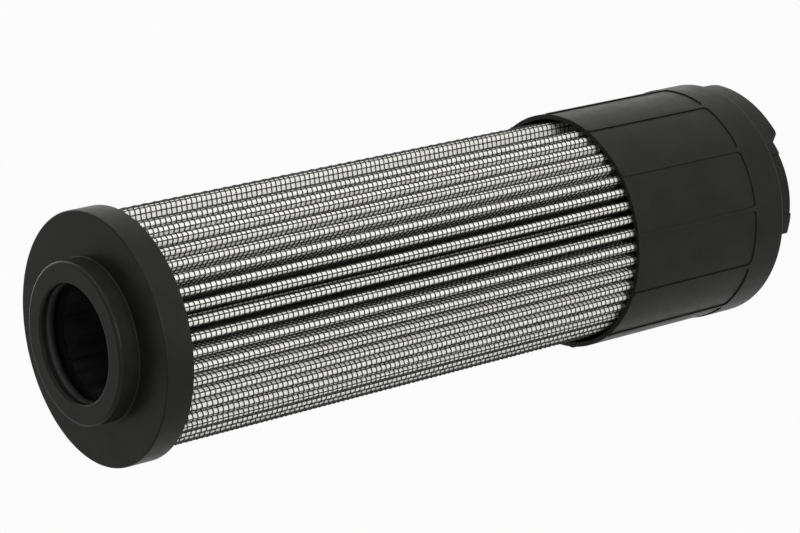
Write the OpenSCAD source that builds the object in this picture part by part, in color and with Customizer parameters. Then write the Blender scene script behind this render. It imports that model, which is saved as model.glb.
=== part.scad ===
// Pleated hydraulic filter element, standing on the feet of its skirt cap.
// The long axis is Z. The origin is the centre of the circle that the feet stand on.

/* [Bore and neck] */
// Diameter of the bore that slides over the filter head's spigot
bore_d = 35.2; // [30:0.1:42]
// Wall between the bore and the outside of the neck
neck_wall = 6.5; // [5:0.1:8]
// Height of the neck above the front face of the cap
neck_h = 6.5; // [5:0.1:14]
// Rounding of the neck's front edge
neck_edge_r = 1; // [0.4:0.1:1.6]
// Fillet at the neck's root
neck_root_r = 0.4; // [0.2:0.1:0.8]
// Rounding of the bore's mouth
mouth_r = 0.8; // [0.2:0.1:1]
// Length of the bore, from its mouth to the seat of the perforated tube
bore_h = 7.8; // [7.5:0.1:9]

/* [Neck seal] */
// Thickness of the ring's cord
ring_cord_d = 3.5; // [3:0.1:3.8]
// How far the ring stands into the bore
ring_proud = 0.2; // [0.1:0.05:0.5]
// Land between the mouth and the groove
groove_land = 1.9; // [1.5:0.1:3]
// Width of the groove, a little more than the ring's cord
groove_w = 4.8; // [4.2:0.1:5]
// Room behind the ring in its groove
groove_room = 0.05; // [0.02:0.01:0.2]

/* [Neck cap] */
// Thickness of the cap's plate
plate_t = 2.6; // [2:0.1:4]
// Height of the cap's rim, plate and all
rim_h = 9; // [7:0.1:16]
// Wall of the cap's rim
rim_wall = 1.6; // [1.2:0.1:3]
// Gap between the pack and the rim
rim_gap = 0.8; // [0.5:0.1:2]
// Rounding of the cap's front edge
rim_edge_r = 0.5; // [0.3:0.1:1.5]

/* [Perforated tube] */
// How much wider than the bore the tube is, on each side
tube_step = 1.9; // [1.2:0.1:2.4]
// Wall of the tube
tube_wall = 0.8; // [0.6:0.1:1.5]
// Gap between the tube and its seats in the two caps
tube_fit = 0.1; // [0.05:0.01:0.2]
// Wall of the stub that centres the tube on the skirt cap
stub_wall = 2.6; // [2:0.1:4]
// Height of that stub
stub_h = 2.3; // [1.5:0.1:6]
// Diameter of the holes in the tube
hole_d = 7; // [4:0.5:8]
// Distance between two rings of holes
hole_pitch = 18; // [14:1:40]
// Number of holes in a ring
holes_round = 10; // [6:2:10]

/* [Pleated pack] */
// Bare length of the pack between the skirt and the neck cap
open_h = 168.5; // [100:0.5:260]
// Depth of the pleats, from the tube to their tips
pleat_depth = 14.7; // [10:0.1:20]
// Gap between the pack and the perforated tube
pack_fit = 0.2; // [0.1:0.05:0.3]
// Thickness of the outer wire mesh
outer_mesh_t = 0.45; // [0.35:0.01:0.5]
// Thickness of the outer fleece
outer_fleece_t = 0.15; // [0.1:0.01:0.2]
// Thickness of the glass fibre layer
glass_t = 0.3; // [0.2:0.01:0.35]
// Thickness of the inner fleece
inner_fleece_t = 0.1; // [0.08:0.01:0.15]
// Thickness of the inner wire mesh
inner_mesh_t = 0.2; // [0.15:0.01:0.25]
// Radius inside the fold at a pleat's tip
fold_r = 0.1; // [0.06:0.01:0.15]
// Least radius between two neighbouring pleats at their roots
root_gap = 0.1; // [0.05:0.01:0.2]
// How much wider a pleat is at its tip than at its root, on each side
tip_spread = 0.3; // [0:0.05:0.4]
// Turn of the first pleat about the axis
pleat_turn = -2; // [-4:0.5:4]
// Number of pleats left out at the pack's lengthwise seam, before the first pleat
gap_pleats = 2; // [1:1:4]
// Width of the raised lengthwise wires on the pleats' tips
wire_w = 0.42; // [0.3:0.02:0.5]
// Height of the raised lengthwise wires
wire_h = 0.14; // [0.08:0.01:0.2]
// Distance between two lengthwise wires
wire_pitch = 1.78; // [1.6:0.02:2.2]

/* [Seam clip] */
// Sheet thickness of the clip that closes the pack's lengthwise seam
clip_t = 0.3; // [0.2:0.05:0.35]
// How far the clip reaches down the pleat
clip_depth = 5; // [3:0.5:7]

/* [Bond] */
// Thickness of the cured adhesive between the pack and each cap
bond_t = 1.5; // [1:0.1:3]

/* [Skirt cap] */
// Gap between the pack and the skirt
skirt_gap = 1.1; // [0.5:0.05:3]
// Wall of the skirt in its panels
skirt_wall = 1.45; // [1.2:0.05:3]
// Height of the panelled wall above the collar
panel_h = 50.9; // [30:0.1:90]
// Height of the collar
collar_h = 12.3; // [8:0.1:20]
// Depth of the panels below the collar and the ribs
panel_depth = 0.4; // [0.2:0.05:0.8]
// Rounding of the panels' corners beside the collar
panel_corner_r = 1.6; // [0.5:0.1:4]
// Number of ribs, one between each two panels
ribs = 12; // [6:1:24]
// Width of a rib
rib_w = 1; // [0.8:0.1:2]
// Turn of the first rib about the axis
rib_turn = -3; // [-10:1:10]
// Rounding of the skirt's open edge
skirt_edge_r = 0.5; // [0.2:0.1:0.7]
// Rounding of the collar's lower edge
collar_edge_r = 0.7; // [0.2:0.1:1]
// Thickness of the floor
floor_t = 2.5; // [2:0.1:4]
// Depth of the floor above the collar's lower edge
floor_rise = 3.8; // [1:0.1:6]

/* [Lugs and feet] */
// Number of locating lugs below the collar
lugs = 2; // [1:1:3]
// Angle of the middle of the first lug
lug_turn = -34.5; // [-60:0.5:60]
// Angle that a lug covers
lug_span = 51; // [30:1:70]
// How far the lugs reach below the collar
lug_h = 7.3; // [5:0.1:12]
// Step from the collar's face in to the lugs
lug_step = 0.9; // [0.6:0.1:2]
// Wall of the lugs
lug_wall = 2.2; // [1.6:0.1:3]
// Rounding of the lugs' lower corners
lug_corner_r = 2; // [1:0.1:3]
// Outer diameter of the foot ring
foot_d = 54.8; // [48:0.2:62]
// Wall of the foot ring
foot_wall = 2.4; // [1.8:0.1:4]
// How far the feet stand below the collar
foot_h = 13.8; // [12.5:0.1:25]
// Number of feet
feet = 4; // [3:1:6]
// Angle of the middle of the first foot
foot_turn = -85.5; // [-180:0.5:180]
// Angle that the thick end of a foot covers
foot_end_span = 14; // [8:1:20]
// How far that end stands out from the foot ring
foot_end_proud = 0.5; // [0.2:0.1:1]
// Width of the slots between the feet
slot_w = 9; // [6:0.2:20]
// Height of the slots
slot_h = 8; // [4:0.5:12]
// Rounding of the slots' upper corners
slot_corner_r = 1.5; // [0.5:0.1:3]

/* [Hidden] */
$fn = 96;
// Steps on a rounded edge
edge_steps = 5;
// Overlap of a cutter past the face it cuts
past = 1;

// Radii, from the bore outwards
bore_r = bore_d / 2;
neck_r = bore_r + neck_wall;
tube_in_r = bore_r + tube_step;
tube_r = tube_in_r + tube_wall;
tube_seat_r = tube_r + tube_fit;
stub_r = tube_in_r - tube_fit;
stub_in_r = stub_r - stub_wall;
pack_in_r = tube_r + pack_fit;
pack_r = pack_in_r + pleat_depth;
rim_in_r = pack_r + rim_gap;
rim_r = rim_in_r + rim_wall;
skirt_in_r = pack_r + skirt_gap;
skirt_r = skirt_in_r + skirt_wall;
collar_r = skirt_r + panel_depth;
lug_r = collar_r - lug_step;
lug_in_r = lug_r - lug_wall;
foot_r = foot_d / 2;
foot_in_r = foot_r - foot_wall;
foot_end_r = foot_r + foot_end_proud;
foot_end_w = slot_w + 2 * foot_end_r * sin(foot_end_span);
ring_mid_r = bore_r - ring_proud + ring_cord_d / 2;
groove_r = ring_mid_r + ring_cord_d / 2 + groove_room;

// Heights, from the feet up
collar_z = foot_h;
panel_z = collar_z + collar_h;
skirt_top_z = panel_z + panel_h;
floor_under_z = collar_z + floor_rise;
floor_z = floor_under_z + floor_t;
rim_z = skirt_top_z + open_h;
cap_z = rim_z + rim_h;
plate_z = cap_z - plate_t;
top_z = cap_z + neck_h;
seat_z = top_z - bore_h;
pack_z = floor_z + bond_t;
pack_top_z = plate_z - bond_t;
lug_z = collar_z - lug_h;
groove_top_z = top_z - groove_land;
groove_z = groove_top_z - groove_w;
ring_z = groove_top_z - ring_cord_d / 2 - groove_room;

// One pleat: two straight legs, a round tip, and a round root shared with its neighbour
pack_t = outer_mesh_t + outer_fleece_t + glass_t + inner_fleece_t + inner_mesh_t;
leg_half = pack_t + fold_r;
tip_half = leg_half + tip_spread;
places = floor(180 / asin((leg_half + root_gap) / (pack_in_r + pack_t + root_gap)));
pleats = places - gap_pleats;
pleat_angle = 360 / places;
root_sin = sin(pleat_angle / 2);
root_mid_r = (pack_in_r + pack_t - leg_half) / (1 - root_sin);
root_r = root_mid_r * root_sin - leg_half;
tip_mid_r = pack_r - tip_half;

// Depth of each layer's outer face below the outermost one
fleece_u = outer_mesh_t;
glass_u = fleece_u + outer_fleece_t;
inner_fleece_u = glass_u + glass_t;
inner_mesh_u = inner_fleece_u + inner_fleece_t;

// Points along an arc about c
function arc(c, r, from, to, steps) =
    [for (i = [0 : steps]) let (a = from + (to - from) * i / steps) c + r * [cos(a), sin(a)]];

// Points p turned by an angle about the axis
function turned(p, a) =
    [for (q = p) [q[0] * cos(a) - q[1] * sin(a), q[0] * sin(a) + q[1] * cos(a)]];

function reversed(p) = [for (i = [len(p) - 1 : -1 : 0]) p[i]];

// Round tip of a pleat that points along X, at depth u
function tip_line(u, steps) = arc([tip_mid_r, 0], tip_half - u, -90, 90, steps);

// The same tip with a raised wire on each side of it
function wired_tip_line(steps) =
    let (half = asin(wire_w / 2 / tip_half),
         lay = wire_pitch / 2 / tip_half * 180 / PI,
         low = tip_half,
         high = tip_half + wire_h)
    concat(arc([tip_mid_r, 0], low, -90, -lay - half, 1),
           arc([tip_mid_r, 0], high, -lay - half, -lay + half, 1),
           arc([tip_mid_r, 0], low, -lay + half, lay - half, steps),
           arc([tip_mid_r, 0], high, lay - half, lay + half, 1),
           arc([tip_mid_r, 0], low, lay + half, 90, 1));

// Round root that follows that pleat, at depth u
function root_line(u, steps) =
    let (half = pleat_angle / 2)
    reversed(arc(root_mid_r * [cos(half), sin(half)], root_r + u, 90 + pleat_angle, 270, steps));

// Across the seam gap at depth u: down the last pleat's half root, round the pack's inside, and up
// the first pleat's half root
function seam_line(u, steps) =
    let (half = pleat_angle / 2,
         r = root_r + u,
         from = (pleats - 1) * pleat_angle + half)
    concat(turned(reversed(arc(root_mid_r * [cos(half), sin(half)], r, 180 + half, 270, steps)), from - half),
           [for (k = [1 : 2 * gap_pleats - 1])
               (root_mid_r - r) * [cos(from + k * half), sin(from + k * half)]],
           arc(root_mid_r * [cos(half), -sin(half)], r, 180 - half, 90, steps));

// Closed line round all the pleats at depth u, from the points of one tip
function folded(tip, u, root_steps) =
    concat([for (i = [0 : pleats - 1])
               each turned(i < pleats - 1 ? concat(tip, root_line(u, root_steps)) : tip,
                           pleat_turn + i * pleat_angle)],
           turned(seam_line(u, root_steps), pleat_turn));

function fold_line(u, tip_steps, root_steps) = folded(tip_line(u, tip_steps), u, root_steps);

// A pleated layer between two closed lines
module layer(outer, inner) {
    n = len(outer);
    translate([0, 0, pack_z])
        linear_extrude(height = pack_top_z - pack_z)
            polygon(points = concat(outer, inner),
                    paths = [[for (i = [0 : n - 1]) i], [for (i = [0 : len(inner) - 1]) n + i]]);
}

// A flat ring, such as a tube or a poured layer
module ring(outer_r, inner_r, z, h) {
    translate([0, 0, z])
        difference() {
            cylinder(r = outer_r, h = h);
            translate([0, 0, -past]) cylinder(r = inner_r, h = h + 2 * past);
        }
}

// A flat shape with its two lower corners rounded, standing on Y = 0
module round_bottomed(w, h, r) {
    translate([-w / 2, r]) square([w, h - r]);
    translate([-w / 2 + r, 0]) square([w - 2 * r, h]);
    for (side = [-1, 1])
        translate([side * (w / 2 - r), r]) circle(r = r, $fn = 32);
}

module neck_end_cap() {
    color("#2b2c2a")
        rotate_extrude()
            polygon(concat(
                [[bore_r, seat_z], [tube_seat_r, seat_z], [tube_seat_r, plate_z],
                 [rim_in_r, plate_z], [rim_in_r, rim_z], [rim_r, rim_z]],
                arc([rim_r - rim_edge_r, cap_z - rim_edge_r], rim_edge_r, 0, 90, edge_steps),
                arc([neck_r + neck_root_r, cap_z + neck_root_r], neck_root_r, 270, 180, edge_steps),
                arc([neck_r - neck_edge_r, top_z - neck_edge_r], neck_edge_r, 0, 90, edge_steps),
                arc([bore_r + mouth_r, top_z - mouth_r], mouth_r, 90, 180, edge_steps),
                [[bore_r, groove_top_z], [groove_r, groove_top_z],
                 [groove_r, groove_z], [bore_r, groove_z]]));
}

module neck_o_ring() {
    color("#1c1d1c")
        translate([0, 0, ring_z])
            rotate_extrude() translate([ring_mid_r, 0]) circle(d = ring_cord_d, $fn = 48);
}

module neck_end_bond() {
    color("#c9b98e") ring(rim_in_r, tube_r, pack_top_z, bond_t);
}

module skirt_end_bond() {
    color("#c9b98e") ring(skirt_in_r, tube_r, floor_z, bond_t);
}

module outer_wire_mesh() {
    color("#30312f")
        layer(folded(wired_tip_line(2), 0, 1), fold_line(fleece_u, 4, 2));
}

module outer_fleece() {
    color("#f1f1ed") layer(fold_line(fleece_u, 4, 2), fold_line(glass_u, 3, 2));
}

module glass_fibre_layer() {
    color("#f6f5ee") layer(fold_line(glass_u, 3, 2), fold_line(inner_fleece_u, 3, 2));
}

module inner_fleece() {
    color("#ecece6") layer(fold_line(inner_fleece_u, 3, 2), fold_line(inner_mesh_u, 2, 2));
}

module inner_wire_mesh() {
    color("#9a9d9c") layer(fold_line(inner_mesh_u, 2, 2), fold_line(pack_t, 2, 2));
}

// A folded steel strip over one pleat, on the side away from the first foot
module seam_clip() {
    out_r = tip_half + wire_h + clip_t;
    in_r = tip_half + wire_h;
    steps = 8;
    color("#8d918f")
        rotate([0, 0, pleat_turn + round(places / 4) * pleat_angle])
            translate([0, 0, skirt_top_z])
                linear_extrude(height = rim_z - skirt_top_z)
                    polygon(concat(
                        [[tip_mid_r - clip_depth, -in_r], [tip_mid_r - clip_depth, -out_r]],
                        arc([tip_mid_r, 0], out_r, -90, 90, steps),
                        [[tip_mid_r - clip_depth, out_r], [tip_mid_r - clip_depth, in_r]],
                        arc([tip_mid_r, 0], in_r, 90, -90, steps)));
}

module perforated_tube() {
    rings = floor((pack_top_z - pack_z) / hole_pitch);
    first_z = (pack_z + pack_top_z - (rings - 1) * hole_pitch) / 2;
    color("#a9adac")
        difference() {
            ring(tube_r, tube_in_r, floor_z, seat_z - floor_z);
            for (k = [0 : rings - 1], i = [0 : holes_round - 1])
                rotate([0, 0, (i + 0.5 * (k % 2)) * 360 / holes_round])
                    translate([tube_in_r - 2 * past, 0, first_z + k * hole_pitch])
                        rotate([0, 90, 0])
                            cylinder(d = hole_d, h = tube_wall + 3 * past, $fn = 24);
        }
}

module skirt_end_cap() {
    color("#2b2c2a") {
        difference() {
            union() {
                skirt_shell();
                foot_ring();
                for (i = [0 : lugs - 1])
                    rotate([0, 0, lug_turn + i * 360 / lugs]) lug();
            }
            panels();
            for (i = [0 : feet - 1])
                rotate([0, 0, foot_turn + (i + 0.5) * 360 / feet]) foot_slot();
        }
    }
}

// Everything on the skirt cap that is round about the axis
module skirt_shell() {
    rotate_extrude()
        polygon(concat(
            [[0, floor_under_z], [lug_in_r, floor_under_z], [lug_in_r, collar_z]],
            arc([collar_r - collar_edge_r, collar_z + collar_edge_r], collar_edge_r, -90, 0, edge_steps),
            arc([collar_r - skirt_edge_r, skirt_top_z - skirt_edge_r], skirt_edge_r, 0, 90, edge_steps),
            [[skirt_in_r, skirt_top_z], [skirt_in_r, floor_z], [stub_r, floor_z],
             [stub_r, floor_z + stub_h], [stub_in_r, floor_z + stub_h], [stub_in_r, floor_z],
             [0, floor_z]]));
}

// The shallow panels between the ribs, open at the skirt's edge and rounded beside the collar
module panels() {
    half = 180 / ribs - asin(rib_w / 2 / skirt_r);
    intersection() {
        ring(collar_r + past, skirt_r, panel_z, panel_h + past);
        for (i = [0 : ribs - 1])
            rotate([0, 0, rib_turn + (i + 0.5) * 360 / ribs])
                translate([0, 0, panel_z])
                    rotate([90, 0, 90])
                        linear_extrude(height = collar_r + 2 * past)
                            round_bottomed(2 * skirt_r * sin(half), panel_h + 2 * past, panel_corner_r);
    }
}

// The foot ring, with a thick stretch at each end of each foot
module foot_ring() {
    ring(foot_r, foot_in_r, 0, floor_under_z + floor_t / 2);
    for (i = [0 : feet - 1])
        rotate([0, 0, foot_turn + (i + 0.5) * 360 / feet])
            intersection() {
                ring(foot_end_r, foot_in_r + foot_wall / 2, 0, floor_under_z + floor_t / 2);
                translate([0, 0, -past])
                    rotate([90, 0, 90])
                        linear_extrude(height = foot_end_r + past)
                            translate([-foot_end_w / 2, 0]) square([foot_end_w, foot_h + floor_rise + floor_t]);
            }
}

// A locating lug: a stretch of ring with rounded lower corners
module lug() {
    intersection() {
        ring(lug_r, lug_in_r, lug_z, floor_under_z + floor_t / 2 - lug_z);
        translate([0, 0, lug_z])
            rotate([90, 0, 90])
                linear_extrude(height = lug_r + past)
                    round_bottomed(2 * lug_r * sin(lug_span / 2), foot_h + floor_rise, lug_corner_r);
    }
}

// The slot between two feet, open below, with rounded upper corners
module foot_slot() {
    mid_r = (foot_r + foot_in_r) / 2;
    translate([mid_r - foot_wall, 0, slot_h])
        rotate([-90, 0, -90])
            linear_extrude(height = 2 * foot_wall)
                round_bottomed(slot_w, slot_h + past, slot_corner_r);
}

neck_end_cap();
neck_o_ring();
neck_end_bond();
outer_wire_mesh();
outer_fleece();
glass_fibre_layer();
inner_fleece();
inner_wire_mesh();
seam_clip();
perforated_tube();
skirt_end_bond();
skirt_end_cap();
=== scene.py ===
"""Looks of the pleated hydraulic filter element: woven cloth, fleece, moulded caps and the studio."""

import math

import bmesh
import bpy
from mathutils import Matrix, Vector


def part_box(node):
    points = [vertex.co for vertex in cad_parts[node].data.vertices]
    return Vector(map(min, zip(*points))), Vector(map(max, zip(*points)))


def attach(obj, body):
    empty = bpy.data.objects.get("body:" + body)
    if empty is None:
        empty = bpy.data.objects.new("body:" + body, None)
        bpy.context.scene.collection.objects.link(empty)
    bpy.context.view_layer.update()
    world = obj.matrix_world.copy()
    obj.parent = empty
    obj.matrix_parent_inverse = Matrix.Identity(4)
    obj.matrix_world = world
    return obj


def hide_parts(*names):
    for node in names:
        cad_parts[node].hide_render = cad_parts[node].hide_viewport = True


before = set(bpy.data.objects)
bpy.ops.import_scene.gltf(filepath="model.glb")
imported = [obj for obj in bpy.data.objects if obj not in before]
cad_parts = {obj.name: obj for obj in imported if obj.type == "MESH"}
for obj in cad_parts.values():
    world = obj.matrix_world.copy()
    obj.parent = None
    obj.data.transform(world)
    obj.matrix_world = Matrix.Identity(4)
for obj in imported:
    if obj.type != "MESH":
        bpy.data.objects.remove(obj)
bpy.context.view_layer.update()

bl_info = {
    "name": "Pleated filter element",
    "version": (1, 0, 0),
    "blender": (4, 5, 0),
    "location": "3D View > Sidebar > Filter",
    "description": "Woven wire cloth, fleece and finishes for a pleated hydraulic filter element",
    "category": "Add Mesh",
}

# Where the pack starts and ends along the axis, and how far its tips reach, in metres
PACK_LOW, PACK_HIGH = (corner.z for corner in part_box("outer_wire_mesh"))
PACK_R = 0.0352

# How near two places count as one, when vertices are picked or merged, in metres and in radians
HAIR = 1e-5
WELD = 2e-5
SLIVER = 1e-3

# How the cloth is cut up into bands and stretches, and how many pitches from a tip's middle its wires sway
HOOP_BANDS = 4
DEEP_STRETCHES = 8
SWAY_REACH = 1.5

# Size of the clouds in the pattern that the rows wander by, in metres
CLOUD_SIZE = 0.016

# Studio: sizes and places in metres, the camera's frame in millimetres. A lamp has width, height and place.
FLOOR_SIDE = 6.0
FLOOR_DROP = 0.0002
LAMP_AIM = (0, 0, 0.13)
LAMPS = {
    "key": (0.9, 0.9, (1.05, -0.35, 0.38)),
    "front": (0.5, 0.5, (0.25, -1.2, 0.27)),
    "back": (1.5, 0.4, (0.5, 1.1, 0.26)),
}
FRAME_WIDTH = 36.0
CAMERA_REACH = (0.05, 20.0)

# How white the floor and the room are, where 1 is white. To mirrors the floor's white glow fades between
# two
# places along X, in metres: painted shade in the object's reflections, darker on the side towards -X.
FLOOR_SEEN = 0.95
FLOOR_MIRRORED_SHADE = 0.3
PAINTED_SHADE_END, PAINTED_LIGHT_END = -0.12, 0.05
ROOM_MIRRORED = 0.35


# Sizes and colours


class ClothSizes(bpy.types.PropertyGroup):
    """Sizes of the pleats and of the wires that are woven over them."""

    places: bpy.props.IntProperty(
        name="Places", description="Number of places for a pleat round the pack", default=48, min=12
    )
    gap: bpy.props.IntProperty(
        name="Gap", description="Number of places that stay empty at the seam", default=2, min=1, max=4
    )
    turn: bpy.props.FloatProperty(
        name="Turn", description="Angle of the first pleat", default=math.radians(-2), unit="ROTATION"
    )
    half_width: bpy.props.FloatProperty(
        name="Half width",
        description="Half the width of a pleat's tip over its outer face",
        default=0.0016,
        unit="LENGTH",
    )
    spread: bpy.props.FloatProperty(
        name="Spread",
        description="How much wider a pleat is at its tip than at its root, on each side",
        default=0.0003,
        unit="LENGTH",
    )
    root_place: bpy.props.FloatProperty(
        name="Root place",
        description="Radius on which the middles of the roots lie",
        default=0.021828,
        unit="LENGTH",
    )
    wire: bpy.props.FloatProperty(
        name="Wire", description="Diameter of a coated wire", default=0.00035, unit="LENGTH"
    )
    sway: bpy.props.FloatProperty(
        name="Sway",
        description="How far a lengthwise wire swings in and out where it crosses the others",
        default=0.00012,
        unit="LENGTH",
    )
    pitch: bpy.props.FloatProperty(
        name="Pitch", description="Distance between two lengthwise wires", default=0.00178, unit="LENGTH"
    )
    first_wire: bpy.props.FloatProperty(
        name="First wire",
        description="Place of a lengthwise wire on the first pleat, from its middle",
        default=0.0006,
        unit="LENGTH",
    )
    shift: bpy.props.FloatProperty(
        name="Shift",
        description="How far the lengthwise wires move over from one pleat to the next",
        default=0.000537,
        unit="LENGTH",
    )
    rows: bpy.props.IntProperty(
        name="Rows", description="Number of wires that run round the pack", default=128, min=10
    )
    drift: bpy.props.FloatProperty(
        name="Drift",
        description="How far the cloth's rows wander along the pack",
        default=0.0008,
        unit="LENGTH",
    )
    mesh_depth: bpy.props.FloatProperty(
        name="Mesh depth",
        description="Depth of the fleece below the cloth's outer face",
        default=0.00045,
        unit="LENGTH",
    )
    fleece: bpy.props.FloatProperty(
        name="Fleece", description="Thickness of the fleece", default=0.00015, unit="LENGTH"
    )


class Finishes(bpy.types.PropertyGroup):
    """Colours of the object's finishes."""

    plastic: bpy.props.FloatVectorProperty(
        name="Moulded plastic",
        description="Colour of the two end caps",
        subtype="COLOR",
        default=(0.0116, 0.0119, 0.01),
    )
    wire: bpy.props.FloatVectorProperty(
        name="Wire coating",
        description="Colour of the coating on the outer cloth",
        subtype="COLOR",
        default=(0.016, 0.016, 0.015),
    )
    fleece: bpy.props.FloatVectorProperty(
        name="Fleece", description="Colour of the fleece", subtype="COLOR", default=(0.78, 0.775, 0.745)
    )
    glass: bpy.props.FloatVectorProperty(
        name="Glass fibre",
        description="Colour of the glass fibre layer",
        subtype="COLOR",
        default=(0.85, 0.85, 0.8),
    )
    rubber: bpy.props.FloatVectorProperty(
        name="Rubber",
        description="Colour of the sealing ring",
        subtype="COLOR",
        default=(0.012, 0.012, 0.012),
    )
    resin: bpy.props.FloatVectorProperty(
        name="Resin", description="Colour of the adhesive", subtype="COLOR", default=(0.55, 0.46, 0.27)
    )
    steel: bpy.props.FloatVectorProperty(
        name="Steel", description="Colour of the bare steel", subtype="COLOR", default=(0.55, 0.56, 0.56)
    )
    floor: bpy.props.FloatVectorProperty(
        name="Floor", description="Colour of the studio floor", subtype="COLOR", default=(0.9, 0.9, 0.9)
    )


class StudioSettings(bpy.types.PropertyGroup):
    """Place of the camera and strength of the lamps."""

    camera_place: bpy.props.FloatVectorProperty(
        name="Camera place",
        description="Where the camera stands",
        subtype="TRANSLATION",
        unit="LENGTH",
        default=(0.103906, -0.742587, 0.701828),
    )
    camera_turn: bpy.props.FloatVectorProperty(
        name="Camera turn",
        description="How the camera is turned",
        subtype="EULER",
        unit="ROTATION",
        default=(math.radians(-16.88472), math.radians(51.30078), math.radians(-103.32703)),
    )
    lens: bpy.props.FloatProperty(
        name="Lens", description="Focal length in millimetres on a 36 mm frame", default=137.06
    )
    key: bpy.props.FloatProperty(
        name="Key", description="Power of the lamp beside the object", default=4.1, unit="POWER"
    )
    front: bpy.props.FloatProperty(
        name="Front", description="Power of the lamp before the object", default=9.2, unit="POWER"
    )
    back: bpy.props.FloatProperty(
        name="Back", description="Power of the lamp behind the object", default=3.2, unit="POWER"
    )
    sky: bpy.props.FloatProperty(name="Sky", description="Strength of the room's own light", default=0.4)


# Small helpers


def only(obj):
    """Selects one object alone and makes it active."""
    bpy.ops.object.select_all(action="DESELECT")
    obj.select_set(True)
    bpy.context.view_layer.objects.active = obj


def settle(obj):
    """Puts the object's place, turn and size into its mesh."""
    only(obj)
    bpy.ops.object.transform_apply(location=True, rotation=True, scale=True)


def pick(obj, test):
    """Selects the vertices that pass a test, in edit mode."""
    shape = bmesh.from_edit_mesh(obj.data)
    for vertex in shape.verts:
        vertex.select = test(vertex.co)
    shape.select_mode = {"VERT"}
    shape.select_flush_mode()
    bmesh.update_edit_mesh(obj.data)


def apply_all(obj):
    """Applies every modifier on the object, from the first to the last."""
    only(obj)
    for name in [m.name for m in obj.modifiers]:
        bpy.ops.object.modifier_apply(modifier=name)


def close_up(obj, reach):
    """Merges doubled vertices and turns the faces outwards."""
    only(obj)
    bpy.ops.object.mode_set(mode="EDIT")
    bpy.ops.mesh.select_all(action="SELECT")
    bpy.ops.mesh.remove_doubles(threshold=reach)
    bpy.ops.mesh.normals_make_consistent(inside=False)
    bpy.ops.object.mode_set(mode="OBJECT")


def copied(obj):
    """A copy of an object, with a mesh of its own."""
    copy = obj.copy()
    copy.data = obj.data.copy()
    bpy.context.scene.collection.objects.link(copy)
    return copy


def round_the_pack(obj, sizes):
    """Copies a pleat round the axis, and closes the gap at the seam with a round floor."""
    helper = bpy.data.objects.new("step", None)
    bpy.context.scene.collection.objects.link(helper)
    helper.rotation_euler.z = 2 * math.pi / sizes.places
    bpy.context.view_layer.update()
    array = obj.modifiers.new("round", "ARRAY")
    array.count = sizes.places - sizes.gap
    array.use_relative_offset = False
    array.use_object_offset = True
    array.offset_object = helper
    array.use_merge_vertices = True
    array.merge_threshold = WELD
    apply_all(obj)
    bpy.data.objects.remove(helper)

    # the open edge before the first pleat is carried back over the gap
    start = sizes.turn - math.pi / sizes.places
    bpy.ops.object.mode_set(mode="EDIT")
    pick(obj, lambda co: abs(math.atan2(co.y, co.x) - start) < SLIVER)
    bpy.ops.mesh.spin(
        steps=2 * sizes.gap, angle=2 * math.pi * sizes.gap / sizes.places, center=(0, 0, 0), axis=(0, 0, 1)
    )
    bpy.ops.object.mode_set(mode="OBJECT")
    close_up(obj, WELD)


def stacked(obj, count, step, reach=0.0):
    """Repeats a piece along the axis, and merges where the copies meet if a reach is given."""
    array = obj.modifiers.new("stack", "ARRAY")
    array.count = count
    array.use_relative_offset = False
    array.use_constant_offset = True
    array.constant_offset_displace = (0, 0, step)
    array.use_merge_vertices = reach > 0
    array.merge_threshold = reach
    apply_all(obj)


def joined(parts, name):
    """Joins objects into the first of them and names it."""
    bpy.ops.object.select_all(action="DESELECT")
    for part in parts:
        part.select_set(True)
    bpy.context.view_layer.objects.active = parts[0]
    if len(parts) > 1:
        bpy.ops.object.join()
    parts[0].name = name
    parts[0].data.name = name
    return parts[0]


def wander(obj, strength):
    """Moves the rows of wire a little along the axis, by a cloudy pattern that all of them share."""
    pattern = bpy.data.textures.get("row_drift") or bpy.data.textures.new("row_drift", "CLOUDS")
    pattern.noise_scale = CLOUD_SIZE
    pattern.noise_depth = 1
    shift = obj.modifiers.new("row_drift", "DISPLACE")
    shift.texture = pattern
    shift.texture_coords = "LOCAL"
    shift.direction = "Z"
    shift.strength = strength
    shift.mid_level = 0.5
    apply_all(obj)


def finish_piece(obj, slot, material, *nodes):
    """Gives a piece its material, its body and the solids that it stands for."""
    obj.data.materials.clear()
    obj.data.materials.append(material)
    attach(obj, "root")
    if nodes:
        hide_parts(*nodes)


def dress(node, material):
    """Gives a carried-over solid a material."""
    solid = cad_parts[node]
    solid.data.materials.clear()
    solid.data.materials.append(material)
    return solid


# Materials


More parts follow.
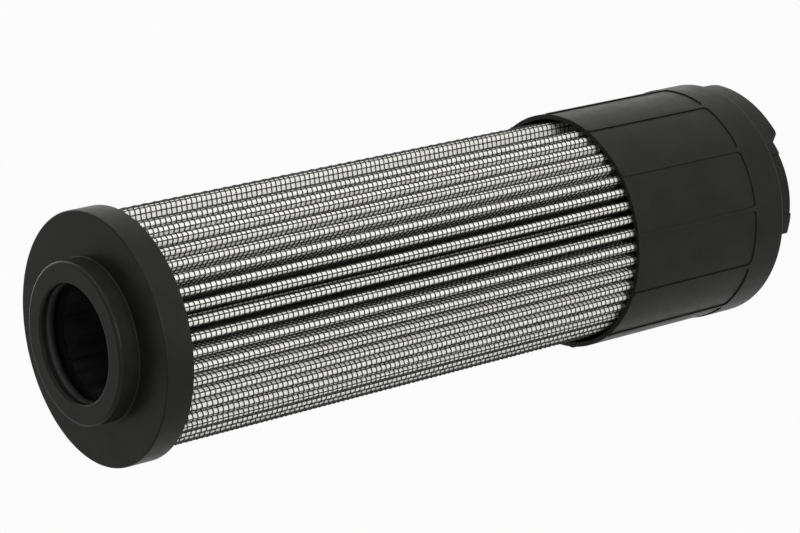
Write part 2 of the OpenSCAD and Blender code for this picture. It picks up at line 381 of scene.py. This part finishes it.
class Graph:
    """The nodes of a material or of the room, added and wired one after another."""

    def __init__(self, owner, out="ShaderNodeOutputMaterial"):
        owner.use_nodes = True
        self.nodes = owner.node_tree.nodes
        self.links = owner.node_tree.links
        self.nodes.clear()
        self.out = self.nodes.new(out)

    def put(self, value, socket):
        """Wires a socket's value to another, or sets it where it is a plain one."""
        if isinstance(value, bpy.types.NodeSocket):
            self.links.new(value, socket)
        else:
            socket.default_value = value

    def add(self, kind, **values):
        """A new node. Each value goes to the socket of that name, or else to the node's own setting."""
        node = self.nodes.new(kind)
        for key, value in values.items():
            if key in node.inputs:
                self.put(value, node.inputs[key])
            else:
                setattr(node, key, value)
        return node

    def reckon(self, operation, first, second):
        """One sum of two values."""
        node = self.add("ShaderNodeMath", operation=operation)
        self.put(first, node.inputs[0])
        self.put(second, node.inputs[1])
        return node.outputs[0]

    def spread(self, value, low, high, low_in=0.3, high_in=0.7):
        """Carries a value from one range over to another."""
        node = self.add("ShaderNodeMapRange")
        self.put(value, node.inputs["Value"])
        self.put(low_in, node.inputs["From Min"])
        self.put(high_in, node.inputs["From Max"])
        self.put(low, node.inputs["To Min"])
        self.put(high, node.inputs["To Max"])
        return node.outputs["Result"]

    def seen_share(self, mirrored):
        """1 for the camera, and the given share for what mirrors this or shows it through glass."""
        path = self.add("ShaderNodeLightPath").outputs
        bounced = self.reckon("MAXIMUM", path["Is Glossy Ray"], path["Is Transmission Ray"])
        return self.reckon("MAXIMUM", path["Is Camera Ray"], self.reckon("MULTIPLY", bounced, mirrored))

    def mix(self, share, first, second):
        """Ends the graph in two shaders, of which the second has the given share."""
        node = self.add("ShaderNodeMixShader")
        for value, socket in zip((share, first.outputs[0], second.outputs[0]), node.inputs):
            self.put(value, socket)
        self.put(node.outputs[0], self.out.inputs["Surface"])


class Finish(Graph):
    """A surface finish: a material with one main shader, patterned by the piece's own coordinates."""

    def __init__(self, name, **sockets):
        self.material = bpy.data.materials.new(name)
        super().__init__(self.material)
        self.shader = self.add("ShaderNodeBsdfPrincipled")
        self.put(self.shader.outputs["BSDF"], self.out.inputs["Surface"])
        self.place = self.add("ShaderNodeTexCoord").outputs["Object"]
        for socket, value in sockets.items():
            self.set(socket, value)

    def set(self, socket, value):
        """Gives one of the shader's sockets its value. Its name is written with _ for a space."""
        self.put(value, self.shader.inputs[socket.replace("_", " ")])

    def noise(self, scale, detail=3.0, rough=0.55, place=None):
        """Cloudy pattern between 0 and 1."""
        pattern = self.add("ShaderNodeTexNoise", Scale=scale, Detail=detail, Roughness=rough)
        self.put(place or self.place, pattern.inputs["Vector"])
        return pattern.outputs["Fac"]

    def mottle(self, pattern, colour, dark, light):
        """Colours the finish between a darker and a lighter shade of one colour."""
        node = self.add("ShaderNodeMix", data_type="RGBA")
        self.put(self.spread(pattern, 0, 1), node.inputs["Factor"])
        shades = [socket for socket in node.inputs if socket.type == "RGBA"]
        shades[0].default_value = (*scaled(colour, dark), 1)
        shades[1].default_value = (*scaled(colour, light), 1)
        self.set("Base_Color", next(socket for socket in node.outputs if socket.type == "RGBA"))

    def bump(self, height, distance, strength, under=None):
        """Raises the surface by a pattern, over another such relief if one is given."""
        node = self.add("ShaderNodeBump", Strength=strength, Distance=distance)
        self.put(height, node.inputs["Height"])
        if under:
            self.put(under, node.inputs["Normal"])
        return node.outputs["Normal"]


def scaled(colour, factor):
    """A colour made lighter or darker."""
    return tuple(min(1.0, part * factor) for part in colour)


def moulded_plastic(colour):
    """Black glass-filled plastic with a fine satin skin."""
    finish = Finish("moulded_plastic", Specular_IOR_Level=0.115)
    finish.mottle(finish.noise(90.0, detail=4.0), colour, dark=0.85, light=1.25)
    finish.set("Roughness", finish.spread(finish.noise(260.0, detail=5.0), 0.3, 0.4))
    waves = finish.bump(finish.noise(160.0, detail=2.0), distance=0.00006, strength=0.35)
    grain = finish.noise(5200.0, detail=2.0)
    finish.set("Normal", finish.bump(grain, distance=0.000012, strength=0.5, under=waves))
    return finish.material


def coated_wire(colour):
    """Dark coating on steel wire."""
    finish = Finish("coated_wire", Specular_IOR_Level=0.4)
    finish.mottle(finish.noise(700.0), colour, dark=0.7, light=1.5)
    finish.set("Roughness", finish.spread(finish.noise(1500.0), 0.35, 0.5))
    finish.set("Normal", finish.bump(finish.noise(6000.0, detail=2.0), distance=0.00001, strength=0.5))
    return finish.material


def fibre_sheet(name, colour, grain):
    """Non-woven cloth of fine fibres."""
    finish = Finish(name, Specular_IOR_Level=0.2, Roughness=0.9)
    finish.mottle(finish.noise(grain, detail=6.0, rough=0.7), colour, dark=0.93, light=1.04)
    fibres = finish.noise(grain * 1.6, detail=5.0, rough=0.7)
    finish.set("Normal", finish.bump(fibres, distance=0.00005, strength=0.6))
    return finish.material


def bare_steel(name, colour, rough):
    """Galvanised steel with faint streaks along the axis."""
    finish = Finish(name, Metallic=1.0)
    drawn_out = finish.add("ShaderNodeMapping", Scale=(1, 1, 0.08))
    finish.put(finish.place, drawn_out.inputs["Vector"])
    streaks = finish.noise(900.0, detail=4.0, rough=0.6, place=drawn_out.outputs["Vector"])
    finish.mottle(finish.noise(160.0), colour, dark=0.8, light=1.12)
    finish.set("Roughness", finish.spread(streaks, rough - 0.08, rough + 0.1))
    finish.set("Normal", finish.bump(streaks, distance=0.00002, strength=0.4))
    return finish.material


def rubber(colour):
    """Soft black rubber with a matt bloom."""
    finish = Finish("seal_rubber", Specular_IOR_Level=0.4)
    finish.mottle(finish.noise(400.0), colour, dark=0.8, light=1.5)
    finish.set("Roughness", finish.spread(finish.noise(600.0), 0.55, 0.7))
    return finish.material


def resin(colour):
    """Cured adhesive, glossy and a little uneven."""
    finish = Finish("bond_resin", Roughness=0.3)
    finish.mottle(finish.noise(220.0), colour, dark=0.8, light=1.15)
    finish.set("Normal", finish.bump(finish.noise(350.0), distance=0.0002, strength=0.5))
    return finish.material


def studio_floor(colour):
    """Pale floor, near white to the camera, that keeps the object's shadow. Mirrors see its glow fade
    towards -X: painted shade in reflections.
    """
    material = bpy.data.materials.new("studio_floor")
    graph = Graph(material)
    place = graph.add("ShaderNodeTexCoord").outputs["Object"]
    across = graph.add("ShaderNodeSeparateXYZ", Vector=place).outputs["X"]
    # painted shade in reflections: towards -X, mirrors see less of the floor's white glow and more of its
    # lit matt face
    mirrored = graph.spread(across, FLOOR_MIRRORED_SHADE, 1.0, PAINTED_SHADE_END, PAINTED_LIGHT_END)
    matt = graph.add("ShaderNodeBsdfDiffuse", Color=(*colour, 1))
    white = graph.add("ShaderNodeEmission", Color=(1, 1, 1, 1), Strength=1.0)
    graph.mix(graph.reckon("MULTIPLY", graph.seen_share(mirrored), FLOOR_SEEN), matt, white)
    return material


def studio_room(sky):
    """Soft light from all round. The camera sees it white."""
    world = bpy.data.worlds.new("room")
    graph = Graph(world, "ShaderNodeOutputWorld")
    light = graph.add("ShaderNodeBackground", Color=(1, 1, 1, 1), Strength=sky)
    white = graph.add("ShaderNodeBackground", Color=(1, 1, 1, 1), Strength=1.0)
    graph.mix(graph.seen_share(ROOM_MIRRORED), light, white)
    return world


# Pieces and stage


class Fold:
    """Places on the pleat that points along X, for a line or sheet some depth below the cloth's face."""

    def __init__(self, sizes, depth):
        self.half = math.pi / sizes.places
        self.tip = PACK_R - sizes.half_width
        self.radius = sizes.half_width - depth
        self.root_x = sizes.root_place * math.cos(self.half)
        self.root_y = sizes.root_place * math.sin(self.half)
        self.spread = sizes.spread
        self.quarter = self.radius * math.pi / 2
        self.leg = self.tip - sizes.root_place
        self.length = self.quarter + self.leg

    def spot(self, arc):
        """Place and facing of the point that lies a distance along the fold from the middle of its tip."""
        down = abs(arc) - self.quarter
        if down <= 0:
            way = arc / self.radius
            return self.tip + self.radius * math.cos(way), self.radius * math.sin(way), way
        side = 1 if arc > 0 else -1
        return self.tip - down, side * (self.radius - self.spread * down / self.leg), side * math.pi / 2


class FILTER_OT_stage(bpy.types.Operator):
    """Sets up the floor, the room, the lamps and the camera"""

    bl_idname = "filter_element.stage"
    bl_label = "Set the stage"

    def execute(self, context):
        studio = context.scene.filter_studio
        colours = context.scene.filter_finishes
        scene = context.scene
        scene.view_settings.view_transform = "Standard"

        bpy.ops.object.select_all(action="DESELECT")
        bpy.ops.mesh.primitive_plane_add(size=FLOOR_SIDE, location=(0, 0, -FLOOR_DROP))
        floor = context.object
        floor.name = "floor"
        settle(floor)
        floor.data.materials.append(studio_floor(colours.floor))
        scene.world = studio_room(studio.sky)

        for name, (wide, tall, place) in LAMPS.items():
            self.lamp(name, getattr(studio, name), wide, tall, place)

        bpy.ops.object.camera_add(location=studio.camera_place, rotation=studio.camera_turn)
        camera = context.object
        camera.name = "camera"
        camera.data.sensor_width = FRAME_WIDTH
        camera.data.lens = studio.lens
        camera.data.clip_start, camera.data.clip_end = CAMERA_REACH
        scene.camera = camera
        return {"FINISHED"}

    def lamp(self, name, power, wide, tall, place):
        """Adds a flat lamp that looks at the middle of the pack."""
        aim = Vector(LAMP_AIM) - Vector(place)
        turn = aim.to_track_quat("-Z", "Y").to_euler()
        bpy.ops.object.light_add(type="AREA", location=place, rotation=turn)
        lamp = bpy.context.object
        lamp.name = name
        lamp.data.shape = "RECTANGLE"
        lamp.data.size = wide
        lamp.data.size_y = tall
        lamp.data.energy = power


class FILTER_OT_weave_cloth(bpy.types.Operator):
    """Weaves the outer cloth: wires round the pleats and wires along them"""

    bl_idname = "filter_element.weave_cloth"
    bl_label = "Weave the outer cloth"

    def execute(self, context):
        sizes = context.scene.filter_cloth
        material = coated_wire(context.scene.filter_finishes.wire)
        row_step = (PACK_HIGH - PACK_LOW) / sizes.rows
        first_row = PACK_LOW + row_step / 2
        pieces = self.hoops(sizes, first_row, row_step) + self.along_wires(sizes, first_row, row_step)
        for index, piece in enumerate(pieces):
            piece.data.name = piece.name
            only(piece)
            bpy.ops.object.shade_smooth()
            replaced = ["outer_wire_mesh"] if index == 0 else []
            finish_piece(piece, "coated_wire", material, *replaced)
        return {"FINISHED"}

    def hoops(self, sizes, first_row, row_step):
        """The wires round the pack, in bands one over another."""
        hoop = self.hoop(sizes, first_row)
        in_band = math.ceil(sizes.rows / HOOP_BANDS)
        bands = []
        for index in range(HOOP_BANDS):
            band = copied(hoop)
            band.name = f"hoop_wires_{index + 1}"
            for vertex in band.data.vertices:
                vertex.co.z += index * in_band * row_step
            stacked(band, min(in_band, sizes.rows - index * in_band), row_step)
            wander(band, sizes.drift)
            bands.append(band)
        bpy.data.objects.remove(hoop)
        return bands

    def hoop(self, sizes, height):
        """One wire round the whole pack."""
        fold = Fold(sizes, sizes.mesh_depth / 2)
        bpy.ops.object.select_all(action="DESELECT")
        bpy.ops.mesh.primitive_circle_add(
            vertices=4,
            radius=sizes.wire / 2,
            location=(fold.tip, -fold.radius, height),
            rotation=(0, math.pi / 2, 0),
        )
        wire = bpy.context.object
        settle(wire)
        bpy.ops.object.mode_set(mode="EDIT")
        bpy.ops.mesh.select_all(action="SELECT")
        bpy.ops.mesh.spin(steps=9, angle=math.pi, center=(fold.tip, 0, height), axis=(0, 0, -1))

        # down each leg to the root, and round it to the plane between two pleats
        low = fold.radius - sizes.spread
        reach = fold.root_y - low
        end_x = fold.root_x - reach * math.cos(fold.half)
        for side in (1, -1):
            end_y = side * (fold.root_y - reach * math.sin(fold.half))
            pick(wire, lambda co: abs(co.x - fold.tip) < HAIR and co.y * side > 0)
            bpy.ops.mesh.extrude_region_move(
                TRANSFORM_OT_translate={"value": (fold.root_x - fold.tip, -side * sizes.spread, 0)}
            )
            bpy.ops.mesh.extrude_region_move(
                TRANSFORM_OT_translate={"value": (end_x - fold.root_x, end_y - side * low, 0)}
            )
            bpy.ops.transform.rotate(
                value=side * (math.pi / 2 - fold.half),
                orient_axis="Z",
                center_override=(end_x, end_y, height),
            )
        bpy.ops.mesh.select_all(action="SELECT")
        bpy.ops.transform.rotate(value=-sizes.turn, orient_axis="Z", center_override=(0, 0, height))
        bpy.ops.object.mode_set(mode="OBJECT")
        round_the_pack(wire, sizes)
        return wire

    def lengthwise(self, sizes, low, step, count, sway=0.0):
        """One wire along the axis. With a sway it swings to and fro from row to row."""
        bpy.ops.object.select_all(action="DESELECT")
        bpy.ops.mesh.primitive_cylinder_add(
            vertices=4,
            radius=sizes.wire / 2,
            depth=step,
            end_fill_type="NOTHING",
            location=(0, 0, low + step / 2),
        )
        wire = bpy.context.object
        settle(wire)
        if sway:
            bpy.ops.object.mode_set(mode="EDIT")
            pick(wire, lambda co: co.z > low + step / 2)
            bpy.ops.mesh.extrude_region_move(TRANSFORM_OT_translate={"value": (0, 0, step)})
            pick(wire, lambda co: abs(co.z - low - step) < step / 4)
            bpy.ops.transform.translate(value=(2 * sway, 0, 0))
            bpy.ops.mesh.select_all(action="SELECT")
            bpy.ops.transform.translate(value=(-sway, 0, 0))
            bpy.ops.object.mode_set(mode="OBJECT")
        stacked(wire, count, step * (2 if sway else 1), HAIR)
        return wire

    def along_wires(self, sizes, first_row, row_step):
        """The lengthwise wires. Their spacing runs on over the folds, so each tip meets it elsewhere."""
        fold = Fold(sizes, sizes.mesh_depth / 2)
        tip_wire = self.lengthwise(sizes, first_row, row_step, sizes.rows // 2, sizes.sway)
        stretch = (PACK_HIGH - PACK_LOW) / DEEP_STRETCHES
        deep_wire = self.lengthwise(sizes, PACK_LOW, stretch, DEEP_STRETCHES)
        near_tips, deep = [], []
        on_side = math.ceil(fold.length / sizes.pitch)
        for pleat in range(sizes.places - sizes.gap):
            turn = sizes.turn + pleat * 2 * math.pi / sizes.places
            first = (sizes.first_wire - pleat * sizes.shift) % sizes.pitch
            for index in range(-on_side, on_side):
                arc = first + index * sizes.pitch
                if abs(arc) > fold.length:
                    continue
                x, y, way = fold.spot(arc)
                at_tip = abs(arc) < SWAY_REACH * sizes.pitch
                wire = self.placed(tip_wire if at_tip else deep_wire, x, y, turn)
                wire.rotation_euler.z = turn + way + math.pi * (index % 2)
                (near_tips if at_tip else deep).append(wire)

        # more of them on the round floor at the seam
        floor_r = sizes.root_place - fold.root_y + fold.radius - sizes.spread
        room = 2 * math.pi * sizes.gap / sizes.places
        count = int(room * floor_r / sizes.pitch)
        for index in range(count):
            turn = sizes.turn - fold.half - room * (index + 0.5) / count
            wire = self.placed(deep_wire, floor_r, 0, turn)
            wire.rotation_euler.z = turn
            deep.append(wire)

        bpy.data.objects.remove(tip_wire)
        bpy.data.objects.remove(deep_wire)
        groups = [joined(near_tips, "tip_wires"), joined(deep, "deep_wires")]
        for group in groups:
            settle(group)
        return groups

    def placed(self, wire, x, y, turn):
        """A copy of a wire, at a place that is given on the pleat along X and turned with its own pleat."""
        copy = copied(wire)
        ahead, aside = math.cos(turn), math.sin(turn)
        copy.location = (x * ahead - y * aside, x * aside + y * ahead, 0)
        return copy


class FILTER_OT_fold_fleece(bpy.types.Operator):
    """Folds the white fleece that lies under the cloth"""

    bl_idname = "filter_element.fold_fleece"
    bl_label = "Fold the fleece"

    def execute(self, context):
        sizes = context.scene.filter_cloth
        colours = context.scene.filter_finishes
        fold = Fold(sizes, sizes.mesh_depth)

        bpy.ops.object.select_all(action="DESELECT")
        bpy.ops.mesh.primitive_grid_add(
            x_subdivisions=1,
            y_subdivisions=12,
            size=1.0,
            location=((fold.tip + fold.root_x) / 2, -fold.radius, (PACK_HIGH + PACK_LOW) / 2),
            rotation=(math.pi / 2, 0, 0),
        )
        sheet = context.object
        sheet.scale = (fold.tip - fold.root_x, PACK_HIGH - PACK_LOW, 1)
        settle(sheet)
        bpy.ops.object.mode_set(mode="EDIT")
        pick(sheet, lambda co: co.x > fold.tip - HAIR)
        bpy.ops.mesh.spin(steps=12, angle=math.pi, center=(fold.tip, 0, 0), axis=(0, 0, -1))
        bpy.ops.mesh.extrude_region_move(TRANSFORM_OT_translate={"value": (fold.root_x - fold.tip, 0, 0)})
        for side in (1, -1):
            root = (fold.root_x, side * fold.root_y, 0)
            pick(sheet, lambda co: co.x < fold.root_x + HAIR and co.y * side > 0)
            bpy.ops.transform.translate(value=(0, -side * sizes.spread, 0))
            bpy.ops.mesh.spin(steps=4, angle=math.pi / 2 - fold.half, center=root, axis=(0, 0, side))
        bpy.ops.mesh.select_all(action="SELECT")
        bpy.ops.transform.rotate(value=-sizes.turn, orient_axis="Z", center_override=(0, 0, 0))
        bpy.ops.object.mode_set(mode="OBJECT")
        round_the_pack(sheet, sizes)
        wall = sheet.modifiers.new("wall", "SOLIDIFY")
        wall.thickness = sizes.fleece
        wall.offset = -1
        apply_all(sheet)
        sheet.name = sheet.data.name = "fleece_sheet"
        only(sheet)
        bpy.ops.object.shade_smooth_by_angle(angle=math.radians(50))
        material = fibre_sheet("white_fleece", colours.fleece, grain=900.0)
        finish_piece(sheet, "white_fleece", material, "outer_fleece")
        dress("glass_fibre_layer", fibre_sheet("glass_fibre", colours.glass, grain=1600.0))
        dress("inner_fleece", fibre_sheet("inner_fleece", colours.fleece, grain=700.0))
        return {"FINISHED"}


class FILTER_OT_finish_caps(bpy.types.Operator):
    """Gives the two moulded caps their satin black plastic"""

    bl_idname = "filter_element.finish_caps"
    bl_label = "Finish the caps"

    def execute(self, context):
        material = moulded_plastic(context.scene.filter_finishes.plastic)
        for node in ("neck_end_cap", "skirt_end_cap"):
            dress(node, material)
        dress("neck_o_ring", rubber(context.scene.filter_finishes.rubber))
        return {"FINISHED"}


class FILTER_OT_finish_steel(bpy.types.Operator):
    """Gives the tube, the inner cloth, the clip and the adhesive their finishes"""

    bl_idname = "filter_element.finish_steel"
    bl_label = "Finish the steel and the adhesive"

    def execute(self, context):
        colours = context.scene.filter_finishes
        # The tube's steel is darkened to 0.4 of the bare steel colour: painted shade, so the deep inside of
        # the bore stays dark.
        dress("perforated_tube", bare_steel("tube_steel", scaled(colours.steel, 0.4), rough=0.4))
        dress("seam_clip", bare_steel("clip_steel", scaled(colours.steel, 0.85), rough=0.35))
        dress("inner_wire_mesh", bare_steel("inner_cloth_steel", scaled(colours.steel, 0.9), rough=0.45))
        glue = resin(colours.resin)
        dress("neck_end_bond", glue)
        dress("skirt_end_bond", glue)
        return {"FINISHED"}


class FILTER_PT_panel(bpy.types.Panel):
    """Lists the steps that build the filter element's looks"""

    bl_idname = "FILTER_PT_panel"
    bl_label = "Filter element"
    bl_space_type = "VIEW_3D"
    bl_region_type = "UI"
    bl_category = "Filter"

    def draw(self, context):
        for step in STEPS:
            self.layout.operator(step.bl_idname)
        for name in GROUPS:
            group = getattr(context.scene, name)
            for key in group.bl_rna.properties.keys():
                if key not in ("rna_type", "name"):
                    self.layout.prop(group, key)


STEPS = (
    FILTER_OT_stage,
    FILTER_OT_weave_cloth,
    FILTER_OT_fold_fleece,
    FILTER_OT_finish_caps,
    FILTER_OT_finish_steel,
)
GROUPS = {"filter_cloth": ClothSizes, "filter_finishes": Finishes, "filter_studio": StudioSettings}


def register():
    for group in GROUPS.values():
        bpy.utils.register_class(group)
    for step in STEPS:
        bpy.utils.register_class(step)
    bpy.utils.register_class(FILTER_PT_panel)
    for name, group in GROUPS.items():
        setattr(bpy.types.Scene, name, bpy.props.PointerProperty(type=group))


def unregister():
    for name in GROUPS:
        delattr(bpy.types.Scene, name)
    bpy.utils.unregister_class(FILTER_PT_panel)
    for step in reversed(STEPS):
        bpy.utils.unregister_class(step)
    for group in GROUPS.values():
        bpy.utils.unregister_class(group)


def main():
    register()
    bpy.ops.filter_element.stage()
    bpy.ops.filter_element.weave_cloth()
    bpy.ops.filter_element.fold_fleece()
    bpy.ops.filter_element.finish_caps()
    bpy.ops.filter_element.finish_steel()


if __name__ == "__main__":
    main()
